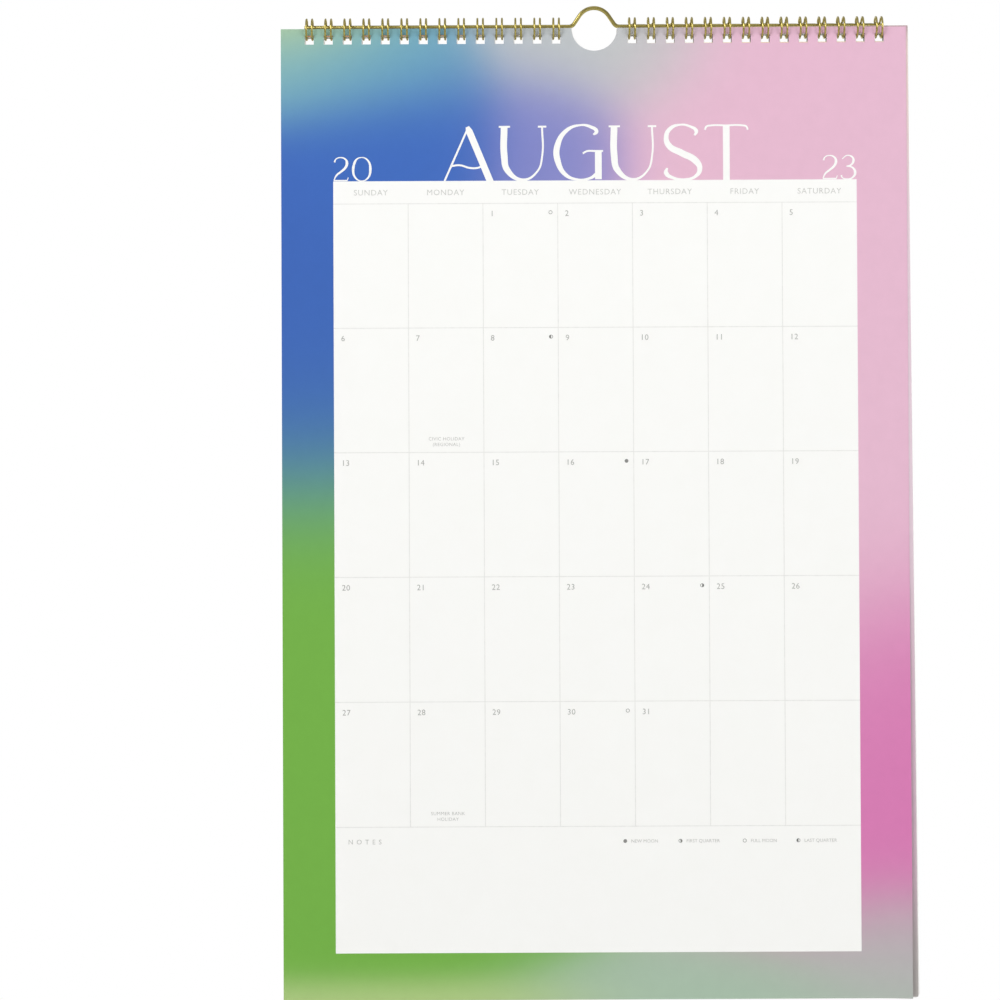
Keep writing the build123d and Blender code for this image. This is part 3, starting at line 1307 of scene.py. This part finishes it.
@dataclass
class PageBlock:
    """The sheets behind the month: loose, and fanned out a little towards the lower right."""

    sheets: int = 11
    air_share: float = 0.12  # of each sheet's share of the block
    next_lean: float = 0.25  # of the next month's page, in degrees
    lean: float = 0.2  # of the last plain sheet but one
    lean_start: float = 0.45  # of that lean, at the front of the block
    last_lean: float = 0.34  # of the last sheet, which is clear of the hanger wire
    slide: float = 0.25 * MM  # sideways, within the holes' play
    rod_radius: float = 0.9 * MM
    far_pivot: float = 128 * MM

    def turn(self, place: int) -> float:
        """Work out how far a plain sheet leans, more towards the last.

        Args:
            place: The sheet's place in the block, counted from the front.

        Returns:
            Its lean in degrees.
        """
        if place == self.sheets - 1:
            return self.last_lean
        return self.lean * (self.lean_start + (1 - self.lean_start) * place / (self.sheets - 2))

    def pivot(self, depth: float) -> float:
        """The point across that a sheet leans about: under the hanger wire, none may rise."""
        return 0.0 if abs(depth) > self.rod_radius else self.far_pivot

    def build(self, cutter: SheetCutter) -> None:
        """Make the plain sheets under the next month's page, and lay that page on them.

        Args:
            cutter: Cuts the sheets.
        """
        low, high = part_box("page_block")
        share = (high.y - low.y) / self.sheets
        thickness = share * (1 - self.air_share)
        pattern = cutter.sheet("plain_sheet", 0.0, thickness)
        pages = []
        for place in range(1, self.sheets):
            page = copy_piece(pattern, "page")
            front = low.y + place * share
            slide = Matrix.Translation((self.slide, front, 0))
            page.data.transform(slide @ leaning(self.turn(place), self.pivot(front)))
            pages.append(page)
        bpy.data.objects.remove(pattern)
        block = join_pieces(pages, "later_pages")
        hand_over(block, Body.CALENDAR, WovePaper(), ["page_block"])
        next_month = MonthPage(
            month="SEPTEMBER",
            first_weekday=5,
            days=30,
            moons={
                6: MoonPhase.LAST_QUARTER,
                14: MoonPhase.NEW,
                22: MoonPhase.FIRST_QUARTER,
                29: MoonPhase.FULL,
            },
            holidays={4: ("LABOUR", "DAY")},
            fields=SEPTEMBER_FIELDS,
            body=Body.CALENDAR,
            front=low.y,
            back=low.y + thickness,
            turn=self.next_lean,
        )
        next_month.build(cutter, Slot.BLOCK, ["page_block"])
        rules = copy_piece(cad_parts["date_rules"], "september_rules")
        rules.data.transform(Matrix.Translation(TOWARDS_WALL * (low.y - RULES_HIGH.y)))
        merge_and_face_out(rules)
        next_month.lean(rules)
        hand_over(rules, Body.CALENDAR, RULE_INK)


RULE_INK = FlatInk("hairline_grey_ink", "#E3E3E0", "#ECECE9")

AUGUST_FIELDS = (
    ColourField("sage corner", -144, -12, 34, 26, "#B8CE94"),
    ColourField("teal", -130, 18, 50, 20.5, "#76B2BE"),
    ColourField("deep blue", -96, 54, 45, 30, "#3C6ABE"),
    ColourField("blue side", -139, 124, 60, 60, "#3A65B8"),
    ColourField("violet", -16, 62, 22, 32, "#7E86C8"),
    ColourField("dusk grey", 3, 0, 33, 26, "#BDC5C4"),
    ColourField("rose side", 104, 110, 76, 130, "#E6BAD0"),
    ColourField("magenta", 139, 328, 60, 58, "#D97AB4"),
    ColourField("grass green", -139, 320, 80, 92, "#74B246"),
    ColourField("pale sage foot", 90, 440, 76, 20, "#A9C1AC"),
    ColourField("pale edge of the foot", -139, 440, 90, 12, "#BCD290"),
    ColourField("mauve grey foot", 139, 420, 36, 28, "#B8B8B8"),
)

SEPTEMBER_FIELDS = (
    ColourField("apricot corner", -139, 0, 80, 70, "#F2B98C"),
    ColourField("rose side", -139, 220, 70, 110, "#E59AA8"),
    ColourField("lilac foot", -90, 431, 90, 60, "#B8A6D6"),
    ColourField("butter shoulder", 40, 30, 70, 50, "#F3DCA0"),
    # Painted shade on mauve print: a narrow dark field over the top edge, which shows only as a thin dark
    # line where this page peeks out above the front sheet.
    ColourField("mauve corner", 139, -6, 80, 7, "#9C7A8A"),
    ColourField("pale rose side", 139, 120, 70, 110, "#E2CDD8"),
    ColourField("grey mauve side", 139, 330, 60, 60, "#CFB4C2"),
    # Grey print and painted shade: only a narrow band of this field shows, beside the front sheet's lifted
    # edge, and its grey darkens that band as shade would.
    ColourField("pale grey foot", 120, 435, 70, 36, "#AEABA7"),
)


@dataclass
class BackingBoard:
    """The board behind the sheets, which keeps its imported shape."""

    def build(self) -> None:
        """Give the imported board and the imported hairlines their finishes."""
        for node, finish in (("backing_board", Greyboard()), ("date_rules", RULE_INK)):
            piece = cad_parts[node]
            piece.data.materials.clear()
            piece.data.materials.append(finish.material())
            log.info("%s: packed shape, finish %s", node, finish.name)


@dataclass
class SoftBox:
    """A square studio light."""

    name: str
    place: Vector
    power: float
    size: float = 0.9

    def build(self, target: Vector) -> None:
        """Hang the light and aim it.

        Args:
            target: The point that it faces.
        """
        light = bpy.data.lights.new(self.name, "AREA")
        light.shape = "SQUARE"
        light.size = self.size
        light.energy = self.power
        holder = bpy.data.objects.new(self.name, light)
        holder.location = self.place
        holder.rotation_euler = (target - self.place).to_track_quat("-Z", "Y").to_euler()
        bpy.context.scene.collection.objects.link(holder)


@dataclass
class Studio:
    """A white studio: a floor far below, soft light, and a camera at the reader's place."""

    floor_height: float = -0.95
    floor_size: float = 3.2
    floor_thickness: float = 0.02
    floor_rim: float = 0.005
    rim_segments: int = 3
    camera_place: tuple[float, float, float] = (-42.8 * MM, -1236.7 * MM, -239.4 * MM)
    camera_turns: tuple[tuple[float, str], ...] = ((0.004, "Z"), (0.962, "X"), (0.251, "Y"))  # in degrees
    lens: float = 100.0
    sensor: float = 36.0
    white: float = 1.0
    reader_side: float = 0.42
    reader_fade: tuple[float, float] = (-0.6, 0.5)  # the direction's Y from that side to the white
    ceiling: float = 0.5  # over the white, well above the camera's view
    ceiling_fade: tuple[float, float] = (0.2, 0.5)  # the direction's Z from the white to the ceiling

    def build(self) -> None:
        """Set up the camera, the surroundings, the lights and the floor."""
        bpy.context.scene.view_settings.view_transform = "Standard"
        self.build_camera()
        self.build_surroundings()
        self.build_floor()
        low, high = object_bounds()
        middle = (Vector(low) + Vector(high)) / 2
        for box in (
            SoftBox("key_light", Vector((-1.15, -1.45, 0.75)), power=19.5),
            SoftBox("fill_light", Vector((1.35, -1.35, 0.25)), power=12.5),
            SoftBox("top_light", Vector((0.1, -0.7, 1.4)), power=2.0),
        ):
            box.build(middle)

    def build_camera(self) -> None:
        """Place the camera where the photograph was taken from."""
        data = bpy.data.cameras.new("reader_camera")
        data.lens = self.lens
        data.sensor_width = self.sensor
        camera = bpy.data.objects.new("reader_camera", data)
        stance = Matrix.Translation(self.camera_place)
        for degrees, axis in self.camera_turns:
            stance = stance @ Matrix.Rotation(math.radians(degrees), 4, axis)
        camera.matrix_world = stance @ Matrix.Rotation(math.pi / 2, 4, "X")
        bpy.context.scene.collection.objects.link(camera)
        bpy.context.scene.camera = camera

    def build_surroundings(self) -> None:
        """Make the surroundings white behind the calendar, and greyer above and on the reader's side."""
        world = bpy.data.worlds.new("white_studio")
        world.use_nodes = True
        tree = world.node_tree
        direction = add_node(tree, "TexCoord", {}, "Generated")
        fades = []
        for axis, (start, end), near, far in (
            ("Y", self.reader_fade, self.reader_side, self.white),
            ("Z", self.ceiling_fade, 1.0, self.ceiling),
        ):
            part = add_node(tree, "SeparateXYZ", {0: direction}, axis)
            inputs = {"Value": part, "From Min": start, "From Max": end, "To Min": near, "To Max": far}
            fades.append(add_node(tree, "MapRange", inputs, interpolation_type="SMOOTHSTEP"))
        light = add_node(tree, "Math", dict(enumerate(fades)), operation="MULTIPLY")
        tree.links.new(light, tree.nodes["Background"].inputs["Color"])
        bpy.context.scene.world = world

    def build_floor(self) -> None:
        """Lay a pale floor with a rounded rim, out of the camera's view."""
        plane = {"size": self.floor_size, "location": (0, 0, self.floor_height)}
        floor = add_shape("studio_floor", bpy.ops.mesh.primitive_plane_add, **plane)
        use_modifier(floor, "SOLIDIFY", {"thickness": self.floor_thickness, "offset": -1.0})
        use_modifier(floor, "BEVEL", {"width": self.floor_rim, "segments": self.rim_segments})
        floor.data.materials.append(PaintedFloor().material())
        floor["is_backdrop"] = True


def month_in_view() -> MonthPage:
    """The page that the photograph shows.

    Returns:
        The page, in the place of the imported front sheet.
    """
    return MonthPage(
        month="AUGUST",
        first_weekday=2,
        days=31,
        moons={
            1: MoonPhase.FULL,
            8: MoonPhase.LAST_QUARTER,
            16: MoonPhase.NEW,
            24: MoonPhase.FIRST_QUARTER,
            30: MoonPhase.FULL,
        },
        holidays={7: ("CIVIC HOLIDAY", "(REGIONAL)"), 28: ("SUMMER BANK", "HOLIDAY")},
        fields=AUGUST_FIELDS,
        body=Body.MONTH_SHEET,
        front=SHEET_LOW.y,
        back=SHEET_HIGH.y,
        trim=0.8 * MM,
        curl=1.9 * MM,
    )


def main() -> None:
    """Build the studio and every piece of the calendar."""
    logging.basicConfig(level=logging.INFO, format="%(message)s")
    Studio().build()
    binding = TwinLoopBinding()
    HangerWire().build()
    binding.build()
    cutter = SheetCutter(Punch(binding).tool())
    print_nodes = [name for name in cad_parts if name.startswith("print_")]
    month_in_view().build(cutter, Slot.SHEET, ["front_sheet", *print_nodes])
    PageBlock().build(cutter)
    bpy.data.objects.remove(cutter.punch)
    BackingBoard().build()


if __name__ == "__main__":
    main()
